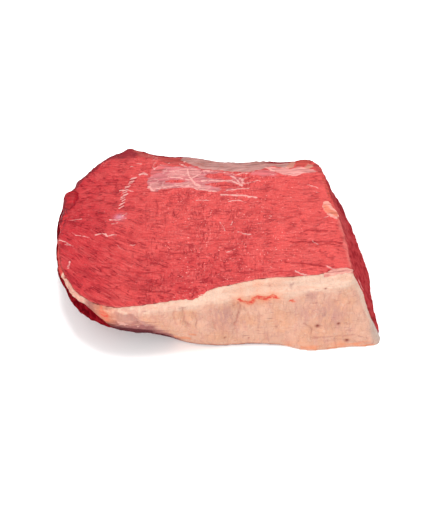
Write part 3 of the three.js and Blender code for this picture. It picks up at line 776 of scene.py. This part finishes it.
# The relief, and the bulge over the fat.
rolling = 0.45 * ripple(spots, 24, 13) + 0.25 * ripple(spots, 9, 14)
bundled = (0.22 * ripple(winding, (12, 3.4, 8), 15) + 0.12 * ripple(winding, (5, 1.9, 4), 47)) * (1 - covered)
rough_wall = (1.1 * ripple(spots, (8, 8, 12), 16) + 0.7 * ripple(spots, (3.4, 3.4, 5), 17)) * (1 - on_cut)
raised = 0.22 * sinew + skin_height + LOBE_HEIGHT * lobe + PEAK_HEIGHT * point - 0.5 * groove
raised += 0.6 * bell(to_fat, 1.6) * climb(30, 40, z)
lift = rolling + bundled + rough_wall + raised - 0.32 * crease - depth - NOTCH_DEPTH * torn_out * on_end
spots = spots + facing * (lift * off_table)[:, None]
bulge = bell((x - BULGE_AT) / BULGE_WIDE, 1) * bell(to_fat, 5) * on_cut
spots[:, 1] -= BULGE * bulge
spots[:, 2] = np.maximum(spots[:, 2] + 0.8 * bulge, 0)
write_spots(lean_mesh, spots)

# The colours: deeper red at the left, dark edges, and a pale painted highlight along the cut face's edge near
# the end cut.
at_left = np.maximum(1 - climb(-125, -25, x), 0.4 * climb(-5, -50, y) * (1 - climb(-10, 60, x)))
redness = 1.15 * at_left + 0.17 * ripple(spots, 18, 18) + 0.10 * ripple(spots, 7, 48)
deep = np.clip(redness, 0, 1) * (1 - 0.6 * groove)
peak = climb(62, 74, y) * (1 - climb(-62, -50, x))
wall = (1 - on_cut) * (1 - on_end)
edge = 1 - climb(2.2, 5.5, to_wall + 1.4 * ripple(spots, (5, 5, 5), 55))
dark_edge = np.maximum(edge, turning) * climb(-6, 10, y) * (1 - climb(66, 72, x))
# The painted highlight runs along the cut face's edge near the end cut, from the front to the middle.
lit_edge = (1 - climb(1.2, 4.6, to_wall + 1.2 * ripple(spots, (3, 5, 3), 59))) * climb(60, 80, x)
lit_edge = lit_edge * climb(12, 2, y) * climb(-54, -46, y)
rim = np.maximum(np.maximum(0.65 * wall, dark_edge), np.maximum(peak, 0.7 * lobe)) * climb(1, 2.5, to_fat)
rim = np.maximum(rim, 0.6 * on_end * climb(-5, 40, y + 8 * ripple(spots, (8, 8, 14), 63)))
paint(
    lean_mesh,
    grain=winding,
    cover=cover,
    covered=covered,
    threaded=0.5 * shares["veil"],
    browned=0.95 * shares["silver"],
    sinew=sinew,
    lilac=lilac,
    crack=np.maximum(crack, (0.35 + 0.4 * at_left) * crease),
    crossed=crossed,
    deep=deep,
    rim=rim,
    # the painted highlight, kept off the end cut itself
    lit_edge=0.7 * lit_edge * (1 - on_end),
    # partly the pale blend at the seam with the fat, partly painted light over its shade
    seam=0.7 * bell(to_fat, 1.1) * climb(0.2, 0.6, facing[:, 2]),
    end=on_end,
    film=climb(-40, 10, y) * climb(30, 55, z) * on_end,
    # where the painted wet glints go
    flecked=(0.25 + 0.75 * climb(-50, -20, x) * (1 - climb(45, 70, x))) * on_cut * (1 - covered),
)
lean_piece = finished_piece("lean_cut", lean_mesh, lean_finish("moist cut beef", LEAN_GLOSS))
lean_mesh.materials.append(lean_finish("torn beef", 0.0))
# The gloss stays off all but the upper cut face, as at a glancing angle it makes a grey haze.
middles, normals = read_faces(lean_mesh)
dull = (normals[:, 2] < 0.45) | (normals[:, 0] > 0.3) | (normals[:, 1] > 0.25)
dull |= middles[:, 2] < CUT_FACE_ABOVE
lean_mesh.polygons.foreach_set("material_index", dull.astype(int))
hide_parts("lean")

# ---------------------------------------------------------------------------------------------------------
# The fat cap is the hard outer fat of the joint, left on one side. Its top was cut through with the lean, and
# its skin side is waxy, with upright furrows, small vessels and a smear of blood. It is joined to the lean.
FAT_SPACING = 0.0009
FAT_EASING = 9
# The height of its rim is measured in steps along x: where they start, how many, and how long each is.
RIM_START = -120
RIM_STEPS = 60
RIM_STEP = 4
RIM_RISE = 1.0  # where it meets the lean at the top, so that no gap shows
FAT_OVERLAP = 1.0  # how far it is sunk into what it is joined to, in millimetres
FAT_GLOSS = 0.06
FAT_CREAM = (0.49, 0.330, 0.255)
FAT_PEACH = (0.455, 0.258, 0.188)
FAT_WARM = (0.45, 0.235, 0.155)
FAT_PINK = (0.42, 0.205, 0.160)
FAT_GREY = (0.35, 0.180, 0.148)
FAT_ORANGE = (0.49, 0.170, 0.085)
FAT_MAUVE = (0.21, 0.078, 0.076)
# Partly the fat's own dark tint, partly painted shade where its left end curls under:
FAT_PURPLE = (0.060, 0.012, 0.016)
FAT_CREASE = (0.31, 0.130, 0.100)
# Painted shade: the dark red line along the fat's foot, where it meets the table.
FAT_UNDER = (0.16, 0.025, 0.022)
FAT_LILAC = (0.32, 0.160, 0.135)
FAT_TONGUE = (0.47, 0.245, 0.200)
FAT_FLAKE = (0.48, 0.185, 0.105)
# Grey at the foot of the right end: partly translucent fat, partly painted shade of that side:
FAT_GLASSY = (0.34, 0.255, 0.215)
RIM_RED = (0.36, 0.020, 0.022)
BLOOD = (0.46, 0.115, 0.070)
BLOOD_RED = (0.42, 0.050, 0.038)
VESSEL = (0.12, 0.008, 0.013)
# Marks on its front: (x, z).
BLOOD_SMEAR = [
    (16, 52), (17.3, 49.9), (21.9, 48.7), (24.9, 49.2), (25.6, 51.4), (28.5, 53), (32.4, 51), (35.4, 51.6),
    (38, 53.2), (41.4, 52.3),
]
BLOOD_DROP = [(50.6, 48.5), (53.3, 46.9)]
RED_SPOTS = [(-75.6, 43, 3.0, 1.0), (-77.5, 46, 2.0, 0.7), (-74, 38.5, 2.4, 0.6)]  # and how wide and strong
VESSELS = [  # and how wide
    (70.2, 23.6, 1.5), (84.7, 24.2, 1.1), (91.6, 7.2, 1.3), (74, 58, 0.6), (48, 58.1, 0.5), (6.2, 9.8, 0.6),
    (22.9, 8.1, 0.6),
]
SCRATCHES = [[(60.6, 25.6), (63.7, 23.7), (66.1, 21.1), (65.9, 15.8)], [(91.1, 42.2), (91.3, 44.7)],
             [(-25, 49.6), (-20.7, 49.3)]]
# Its creases: a depth, and the route.
CREASES = [
    (0.9, [(-22, 49.7), (-21.6, 42.8), (-21, 33.2), (-18.1, 27.9)]),
    (0.8, [(-15.6, 42.5), (-13.4, 37.2), (-13.1, 26.2)]),
    (0.6, [(-58.2, 47.2), (-53.2, 40.8), (-50.6, 32.4)]),
    (0.6, [(-26.7, 52.2), (-29.1, 44.4), (-27.1, 31.9)]),
    (0.5, [(-31.9, 51.3), (-25.2, 51.4), (-20.7, 49.3)]),
    (0.5, [(-2.7, 53), (-3.5, 40.7), (-0.1, 20.9)]),
    (0.6, [(10.5, 55.8), (11.7, 53), (12.9, 44.5)]),
    (1.0, [(15.5, 47.9), (16.7, 41.4), (15.6, 35.4), (13.4, 25), (12.8, 14.7)]),
    (0.6, [(19.3, 43.9), (22.1, 34.6), (23.7, 28.6)]),
    (0.5, [(3.8, 23.3), (5.8, 16.1)]),
    (0.5, [(30, 35), (29, 12)]),
    (0.6, [(66.5, 11.7), (78.9, 12.1), (90.6, 11.6), (97.6, 11.9), (106.4, 8)]),
    (0.5, [(68.9, 8.7), (84.5, 8.6), (96.4, 5.5), (109.9, 2.7)]),
]
# Soft grey clouds under the surface: (x, z), how wide and high they are, and how strong.
CLOUDS = [
    (65, 54, 9, 8, 1.0), (79, 33, 11, 13, 1.0), (62, 36, 8, 9, 0.8), (5, 36, 9, 17, 1.0),
    (-26, 51, 8, 3, 0.8), (-62, 43, 10, 6, 1.0), (-48, 31, 6, 4, 0.8),
]
# Thin sheets over the fat at its left: a colour and an outline of (x, z).
SHEETS = [
    (FAT_LILAC, [(-71.9, 44.8), (-68.8, 47.4), (-62, 46.8), (-55.9, 47.3), (-53.2, 42.3), (-44.6, 32),
        (-47.7, 30.3), (-52.6, 37.9), (-59.3, 39.5), (-65.4, 39.2), (-70.6, 41.7)]),
    (FAT_TONGUE, [(-68.4, 39.6), (-64.7, 37.6), (-60.4, 33.3), (-62.8, 31.1), (-67.1, 35.8)]),
    (FAT_TONGUE, [(-55.1, 32.5), (-52.2, 30.8), (-53.8, 28.1)]),
    (FAT_FLAKE, [(-31, 13), (-24, 10.8), (-17, 11), (-16, 7.5), (-24, 7), (-29, 8.5)]),
    (FAT_FLAKE, [(-20, 17), (-14, 16), (-14, 13.5), (-19, 14)]),
]
# Below this line its left end is mauve.
MAUVE_BELOW = [
    (-84, 50), (-78, 46), (-70, 42), (-62, 35), (-52, 36), (-45, 33), (-40, 27), (-34, 20), (-28, 9),
    (-22, 2),
]


def sink_in(spots, nodes, overlap, reach=1.8):
    """Moves what lies close to the solids a little way into them, so that no gap shows."""
    for node in nodes:
        skin = skin_of(node)
        for i, spot in enumerate(spots):
            touch, _, _, gap = skin.find_nearest(Vector(spot) / 1000, reach / 1000)
            if touch is not None and gap > 1e-6:
                toward = (np.array(touch) * 1000 - spot) / (gap * 1000)
                spots[i] = spot + toward * overlap * (1 - gap * 1000 / reach) ** 0.5
    return spots


def fat_finish(name, gloss):
    """Waxy fat with furrows and clouds, and over it the stains, the marks and the shade low down that are
    painted on it.
    """
    fat = Finish(name)
    clouds = fat.noise(15, 4.0)
    upright = fat.noise((3.5, 3.5, 15), 3.0, seed=4.0)
    threads = fat.noise((1.1, 1.1, 8), 2.0, seed=8.0)
    curd = fat.noise(2.2, 3.0, seed=3.0)
    net = fat.lines(fat.noise((6, 6, 11), 3.0, seed=11.0), 0.03)
    level = fat.noise((16, 4, 1.8), 3.0, seed=12.0)
    colour = fat.mix(fat.between(clouds, 0.40, 0.60), FAT_PEACH, FAT_WARM)
    colour = fat.mix(fat.between(upright, 0.48, 0.68, 0.55), colour, FAT_PINK)
    colour = fat.mix(fat.between(curd, 0.52, 0.72, 0.5), colour, FAT_CREAM)
    grey = fat.times(fat.between(fat.noise((3, 3, 12), 4.0, seed=5.0), 0.34, 0.54), fat.painted("greyed"))
    colour = fat.mix(grey, colour, FAT_GREY)
    colour = fat.mix(fat.times(net, 0.4), colour, FAT_GREY)
    band = fat.ragged(fat.painted("band"), fat.noise((9, 9, 4), 3.0, seed=6.0), 1.2, 0.9, 0.4)
    colour = fat.mix(band, colour, fat.mix(fat.between(level, 0.46, 0.66, 0.6), FAT_CREAM, FAT_PEACH))
    colour = fat.mix(fat.times(fat.painted("pink"), fat.between(upright, 0.35, 0.6)), colour, FAT_PINK)
    orange = fat.times(fat.painted("orange"), fat.between(fat.noise((9, 9, 2.5), 3.0, seed=7.0), 0.4, 0.62))
    colour = fat.mix(orange, colour, FAT_ORANGE)
    streaks = fat.noise((8, 8, 1.6), 4.0, seed=9.0)
    colour = fat.mix(fat.ragged(fat.painted("mauve"), streaks, 1.8, 0.95, 0.4), colour, FAT_MAUVE)
    # Near-black purple low on the left end: partly the fat's own dark tint, partly painted shade where it
    # curls under.
    colour = fat.mix(fat.ragged(fat.painted("purple"), streaks, 1.4, 0.95, 0.35), colour, FAT_PURPLE)
    sheet = fat.ragged(fat.painted("sheeted"), fat.noise((5, 5, 1.6), 4.0, seed=17.0), 1.3, 0.8, 0.3)
    colour = fat.mix(sheet, colour, fat.painted("sheet", "Vector"))
    # Painted shade along the fat's foot, where it meets the table.
    colour = fat.mix(fat.painted("under"), colour, FAT_UNDER)
    # Grey at the foot of the right end: partly translucent fat, partly painted shade of that side.
    colour = fat.mix(fat.painted("glassy"), colour, FAT_GLASSY)
    colour = fat.mix(fat.times(fat.painted("crease"), fat.between(threads, 0.3, 0.6)), colour, FAT_CREASE)
    stained = fat.ragged(fat.painted("stained"), fat.noise((4, 4, 3), 3.0, seed=14.0), 0.9, 0.9)
    colour = fat.mix(stained, colour, RIM_RED)
    glow = fat.times(fat.painted("glow"), 0.55)
    colour = fat.mix(glow, colour, FAT_ORANGE)
    clotted = fat.noise((2.6, 2.6, 1.2), 3.0, seed=13.0)
    colour = fat.mix(fat.ragged(fat.painted("blood"), clotted, 1.6, 0.9, 0.3), colour, BLOOD)
    core = fat.times(fat.between(fat.painted("blood"), 0.35, 0.8), fat.between(clotted, 0.44, 0.56))
    colour = fat.mix(core, colour, BLOOD_RED)
    colour = fat.mix(fat.painted("vessel"), colour, VESSEL)
    colour = fat.varied(colour, fat.noise((9, 9, 11), 3.0, seed=19.0), 0.93, 1.06)
    colour = fat.varied(colour, threads, 0.95, 1.05)
    colour = fat.varied(colour, fat.noise(0.9, 2.0, seed=18.0), 0.96, 1.04)
    fat.put(fat.shader.inputs["Base Color"], colour)
    relief = fat.bump(curd, 0.35)
    relief = fat.bump(threads, 0.15, relief)
    relief = fat.bump(upright, 0.5, relief)
    relief = fat.bump(fat.times(net, -1.0), 0.15, relief)
    fat.put(fat.shader.inputs["Normal"], relief)
    fat.put(fat.shader.inputs["Roughness"], fat.ranged(clouds, 0.38, 0.55))
    fat.shader.inputs["Subsurface Weight"].default_value = 0.12
    fat.shader.inputs["Subsurface Radius"].default_value = (1.0, 0.5, 0.3)
    fat.shader.inputs["Subsurface Scale"].default_value = 0.0015
    fat.shader.inputs["Specular IOR Level"].default_value = gloss
    return fat.material


fat_mesh = fresh_mesh("fat_cap", FAT_SPACING, FAT_EASING)
spots = read_spots(fat_mesh)
facing = read_spots(fat_mesh, "normal")
lean_skin = skin_of("lean")
to_lean = np.array([lean_skin.find_nearest(Vector(spot) / 1000)[3] for spot in spots]) * 1000
spots = sink_in(spots, ["lean", "outer_muscle"], FAT_OVERLAP)
x, y, z = spots.T
front = spots[:, [0, 2]]
high_up = climb(38, 44, z)
cut_top = climb(0.45, 0.8, facing[:, 2]) * high_up
cut_end = climb(0.5, 0.8, facing[:, 0]) * climb(70, 85, x)
shown = climb(0.2, 0.6, -facing[:, 1])
off_table = climb(*RELIEF_FADES_IN, z)
wander = front + 0.9 * np.stack([ripple(spots, 5, 5), ripple(spots, 5, 6)], axis=1)

# How far it lies below the upper rim, which falls towards the left.
column = np.clip(((x - RIM_START) / RIM_STEP).astype(int), 0, RIM_STEPS - 1)
rim_height = np.array([z[column == number].max(initial=0) for number in range(RIM_STEPS)])
step_middles = RIM_START + RIM_STEP * (np.arange(RIM_STEPS) + 0.5)
under_rim = np.interp(x, step_middles, rim_height) - z

# Its creases, its stains and its other marks.
crease = np.zeros(len(spots))
furrow = np.zeros(len(spots))
for deep_by, route in CREASES:
    gap = beside(wander, route)
    crease = np.maximum(crease, deep_by * bell(gap, 0.75))
    furrow = np.maximum(furrow, deep_by * bell(gap, 2.6))
smear_gap = beside(wander, BLOOD_SMEAR)
thick = 1.7 + 1.1 * ripple(spots, (7, 7, 4), 62)
blood = np.maximum(bell(smear_gap, np.maximum(thick, 0.5)), bell(beside(wander, BLOOD_DROP), 1.2))
glow = bell(smear_gap, 4.5)
for red_x, red_z, width, strength in RED_SPOTS:
    blood = np.maximum(blood, strength * bell(np.hypot((x - red_x) / 1.2, z - red_z), width))
    glow = np.maximum(glow, bell(np.hypot((x - red_x) / 1.6, z - red_z), 2 * width))
vessel = np.zeros(len(spots))
for vessel_x, vessel_z, width in VESSELS:
    vessel = np.maximum(vessel, bell(np.hypot(x - vessel_x, z - vessel_z), width))
for route in SCRATCHES:
    vessel = np.maximum(vessel, 0.35 * bell(beside(wander, route), 0.6))
greyed = np.zeros(len(spots))
for cloud_x, cloud_z, wide, high, strength in CLOUDS:
    greyed = np.maximum(greyed, strength * bell(np.hypot((x - cloud_x) / wide, (z - cloud_z) / high), 1))
below = np.interp(x, *np.array(MAUVE_BELOW, float).T) - z
on_left = (1 - climb(-30, -22, x)) * climb(-94, -84, x)
sheet = np.tile(FAT_LILAC, (len(spots), 1))
sheeted = np.zeros(len(spots))
for number, (colour, outline) in enumerate(SHEETS):
    share = climb(-1, 1, within(wander, outline) + ripple(spots, (5, 5, 2.5), 90 + number)) * shown
    sheet += climb(0.05, 0.5, share)[:, None] * (np.array(colour) - sheet)
    sheeted = np.maximum(sheeted, share)
# Grey at the foot of its right end: partly translucent fat, partly painted shade of that side.
glassy = climb(0.1, 0.5, facing[:, 0]) * climb(104, 110, x) * (1 - climb(18, 28, z))
low_edge = 1 - climb(2, 9, z)
stained = (1 - climb(-108, -104, x)) * climb(-48, -38, y) * climb(36, 42, z)

# The relief.
lumps = 0.5 * ripple(spots, (12, 12, 18), 20) + 0.3 * ripple(spots, (5, 5, 7), 21)
lumps += 0.12 * ripple(spots, 2.6, 22)
uneven = 0.8 * ripple(spots, (6, 6, 4), 51) * climb(6, 2, under_rim) * shown
lift = lumps * (1 - 0.4 * cut_top) + uneven - 0.5 * crease * shown - 0.8 * furrow * shown
lift -= 0.5 * vessel * shown
spots = spots + facing * (lift * off_table)[:, None]
spots[:, 2] += RIM_RISE * bell(to_lean, 2.2) * climb(0.2, 0.6, facing[:, 2]) * high_up
spots[:, 2] = np.maximum(spots[:, 2], 0)
write_spots(fat_mesh, spots)
paint(
    fat_mesh,
    band=np.maximum(1 - climb(0, 12, under_rim + 3 * ripple(spots, (14, 14, 9), 52)), 0.8 * cut_end),
    pink=0.95 * (1 - climb(-75, -15, x)),
    orange=np.clip(0.8 * low_edge * shown * (climb(40, 60, x) + 1 - climb(-32, -10, x)), 0, 1),
    mauve=climb(-9, 7, below + 3 * ripple(spots, (12, 12, 6), 53)) * on_left,
    # painted shade along the fat's foot, except near its right end
    under=0.85 * (1 - climb(0.8, 2.6, z + 0.8 * ripple(spots, (9, 9, 4), 61))) * (1 - climb(42, 50, x)),
    # near-black purple low on the left end: partly its own tint, partly painted shade where it curls under
    purple=climb(3, 14, below + 3 * ripple(spots, (12, 12, 6), 54)) * on_left,
    sheet=sheet,
    sheeted=sheeted,
    glassy=0.85 * glassy,
    crease=crease * shown,
    stained=stained,
    glow=glow,
    blood=blood,
    vessel=vessel * shown,
    greyed=greyed,
)
fat_piece = finished_piece("fat_side", fat_mesh, fat_finish("hard beef fat", FAT_GLOSS))
fat_mesh.materials.append(fat_finish("dull fat", 0.0))
middles, normals = read_faces(fat_mesh)
dull = (normals[:, 2] < 0.15) | ((middles[:, 0] < -15) & (normals[:, 2] < 0.6))
fat_mesh.polygons.foreach_set("material_index", dull.astype(int))
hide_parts("fat_cap")

# ---------------------------------------------------------------------------------------------------------
# The outer muscle is a thin strip of a second muscle, which the seam of fat divides from the first. It is wet
# and much darker, and its fibres run upright.
MUSCLE_SPACING = 0.001
MUSCLE_EASING = 3
MUSCLE_BLACK = (0.035, 0.0005, 0.0015)
MUSCLE_DARK = (0.085, 0.001, 0.003)
MUSCLE_RED = (0.18, 0.006, 0.010)
# Partly pale tissue, partly painted wet highlights on the dull muscle:
MUSCLE_TISSUE = (0.36, 0.110, 0.100)


def muscle_finish():
    """Dark wet muscle with upright strands, clots, and pale spots that are partly tissue and partly painted
    wet highlights.
    """
    muscle = Finish("dark wet muscle")
    strands = muscle.noise((1.6, 1.6, 9), 4.0)
    clots = muscle.noise(5, 3.0, seed=3.0)
    # Pale spots: partly tissue, partly painted wet highlights.
    tissue = muscle.between(muscle.noise((3, 3, 8), 3.0, seed=7.0), 0.66, 0.76, 0.6)
    colour = muscle.mix(muscle.between(strands, 0.36, 0.66), MUSCLE_DARK, MUSCLE_RED)
    colour = muscle.mix(muscle.between(clots, 0.5, 0.7, 0.8), colour, MUSCLE_BLACK)
    colour = muscle.mix(tissue, colour, MUSCLE_TISSUE)
    muscle.put(muscle.shader.inputs["Base Color"], colour)
    relief = muscle.bump(strands, 0.5)
    relief = muscle.bump(muscle.noise(1.2, 3.0, seed=5.0), 0.3, relief)
    muscle.put(muscle.shader.inputs["Normal"], relief)
    muscle.put(muscle.shader.inputs["Roughness"], muscle.ranged(clots, 0.25, 0.45))
    muscle.shader.inputs["Specular IOR Level"].default_value = 0.0
    return muscle.material


muscle_mesh = fresh_mesh("outer_muscle", MUSCLE_SPACING, MUSCLE_EASING)
spots = read_spots(muscle_mesh)
facing = read_spots(muscle_mesh, "normal")
off_table = climb(*RELIEF_FADES_IN, spots[:, 2])
lift = 0.6 * ripple(spots, (5, 5, 10), 30) + 0.4 * ripple(spots, (2.2, 2.2, 7), 31)
spots = spots + facing * (lift * off_table)[:, None]
spots[:, 2] = np.maximum(spots[:, 2], 0)
write_spots(muscle_mesh, spots)
muscle_piece = finished_piece("outer_muscle_strip", muscle_mesh, muscle_finish())
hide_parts("outer_muscle")

# ---------------------------------------------------------------------------------------------------------
# A flap of thin membrane lies over the seam of the lean and the fat, near the end cut. It is a pale wet film
# that was pulled up there, so that its left end stands off the meat; the rest is stuck to both.
FLAP_ROUTE = [(73.2, -57), (77.5, -55), (84, -53.8), (89, -53.4), (93, -53.6)]
FLAP_WIDTH = [3, 6, 6.5, 6, 4.5]
FLAP_RISE = [1.5, 0.9, 0.5, 0.7, 1.1]  # how far its middle stands off what lies under it
FLAP_THICKNESS = 0.5
FLAP_STEPS = (40, 17)  # along it and across it
FLAP_SEEN_FROM = 100  # the height from which what lies under it is looked for
MEMBRANE_PALE = (0.49, 0.235, 0.190)
MEMBRANE_PINK = (0.40, 0.150, 0.130)


def membrane_finish():
    """A pale film with lines along it."""
    membrane = Finish("thin membrane")
    lines = membrane.noise((6, 1.3, 2), 3.0)
    colour = membrane.mix(membrane.between(lines, 0.40, 0.58), MEMBRANE_PINK, MEMBRANE_PALE)
    colour = membrane.varied(colour, membrane.noise(1.1, 2.0, seed=3.0), 0.92, 1.08)
    membrane.put(membrane.shader.inputs["Base Color"], colour)
    membrane.put(membrane.shader.inputs["Normal"], membrane.bump(lines, 0.3))
    membrane.shader.inputs["Roughness"].default_value = 0.4
    membrane.shader.inputs["Specular IOR Level"].default_value = 0.06
    return membrane.material


under = []
for piece in (lean_piece, fat_piece):
    faces = [list(face.vertices) for face in piece.data.polygons]
    under.append(BVHTree.FromPolygons([vertex.co for vertex in piece.data.vertices], faces))
rows, columns = FLAP_STEPS
lengths, across = np.meshgrid(np.linspace(0, 1, rows), np.linspace(-1, 1, columns), indexing="ij")
marks = np.linspace(0, 1, len(FLAP_ROUTE))
middle = along(FLAP_ROUTE, lengths.ravel())
width = np.interp(lengths.ravel(), marks, FLAP_WIDTH)
rise = np.interp(lengths.ravel(), marks, FLAP_RISE)
across = across.ravel()
ground = middle + np.stack([0 * across, across * width / 2], axis=1)
level_ground = np.column_stack([ground, 0 * across])
ground += 0.7 * np.stack([ripple(level_ground, 3, seed) for seed in (70, 71)], axis=1)
top = []
for (flap_x, flap_y), share, high in zip(ground, across, rise):
    start = Vector((flap_x, flap_y, FLAP_SEEN_FROM)) / 1000
    hits = [skin.ray_cast(start, Vector((0, 0, -1)))[0] for skin in under]
    floor = max(hit.z * 1000 for hit in hits if hit is not None)
    top.append((flap_x, flap_y, floor + high * (1 - share**4) - 0.25 * share**4))
top = np.array(top)
top[:, 2] += 0.3 * ripple(top, (5, 1.6, 3), 72) * (1 - across**4)
bottom = top - np.array((0, 0, FLAP_THICKNESS))
number = np.arange(rows * columns).reshape(rows, columns)
quads = np.stack([number[:-1, :-1], number[1:, :-1], number[1:, 1:], number[:-1, 1:]], axis=-1).reshape(-1, 4)
border = np.concatenate([number[0, :-1], number[:-1, -1], number[-1, :0:-1], number[:0:-1, 0]])
following = np.roll(border, -1)
sides = np.stack([border, following, following + len(top), border + len(top)], axis=1)
flap_mesh = bpy.data.meshes.new("flap")
flap_faces = quads.tolist() + (quads[:, ::-1] + len(top)).tolist() + sides.tolist()
flap_mesh.from_pydata((np.concatenate([top, bottom]) / 1000).tolist(), [], flap_faces)
work = bmesh.new()
work.from_mesh(flap_mesh)
bmesh.ops.recalc_face_normals(work, faces=work.faces)
work.to_mesh(flap_mesh)
work.free()
finished_piece("membrane_flap", flap_mesh, membrane_finish())
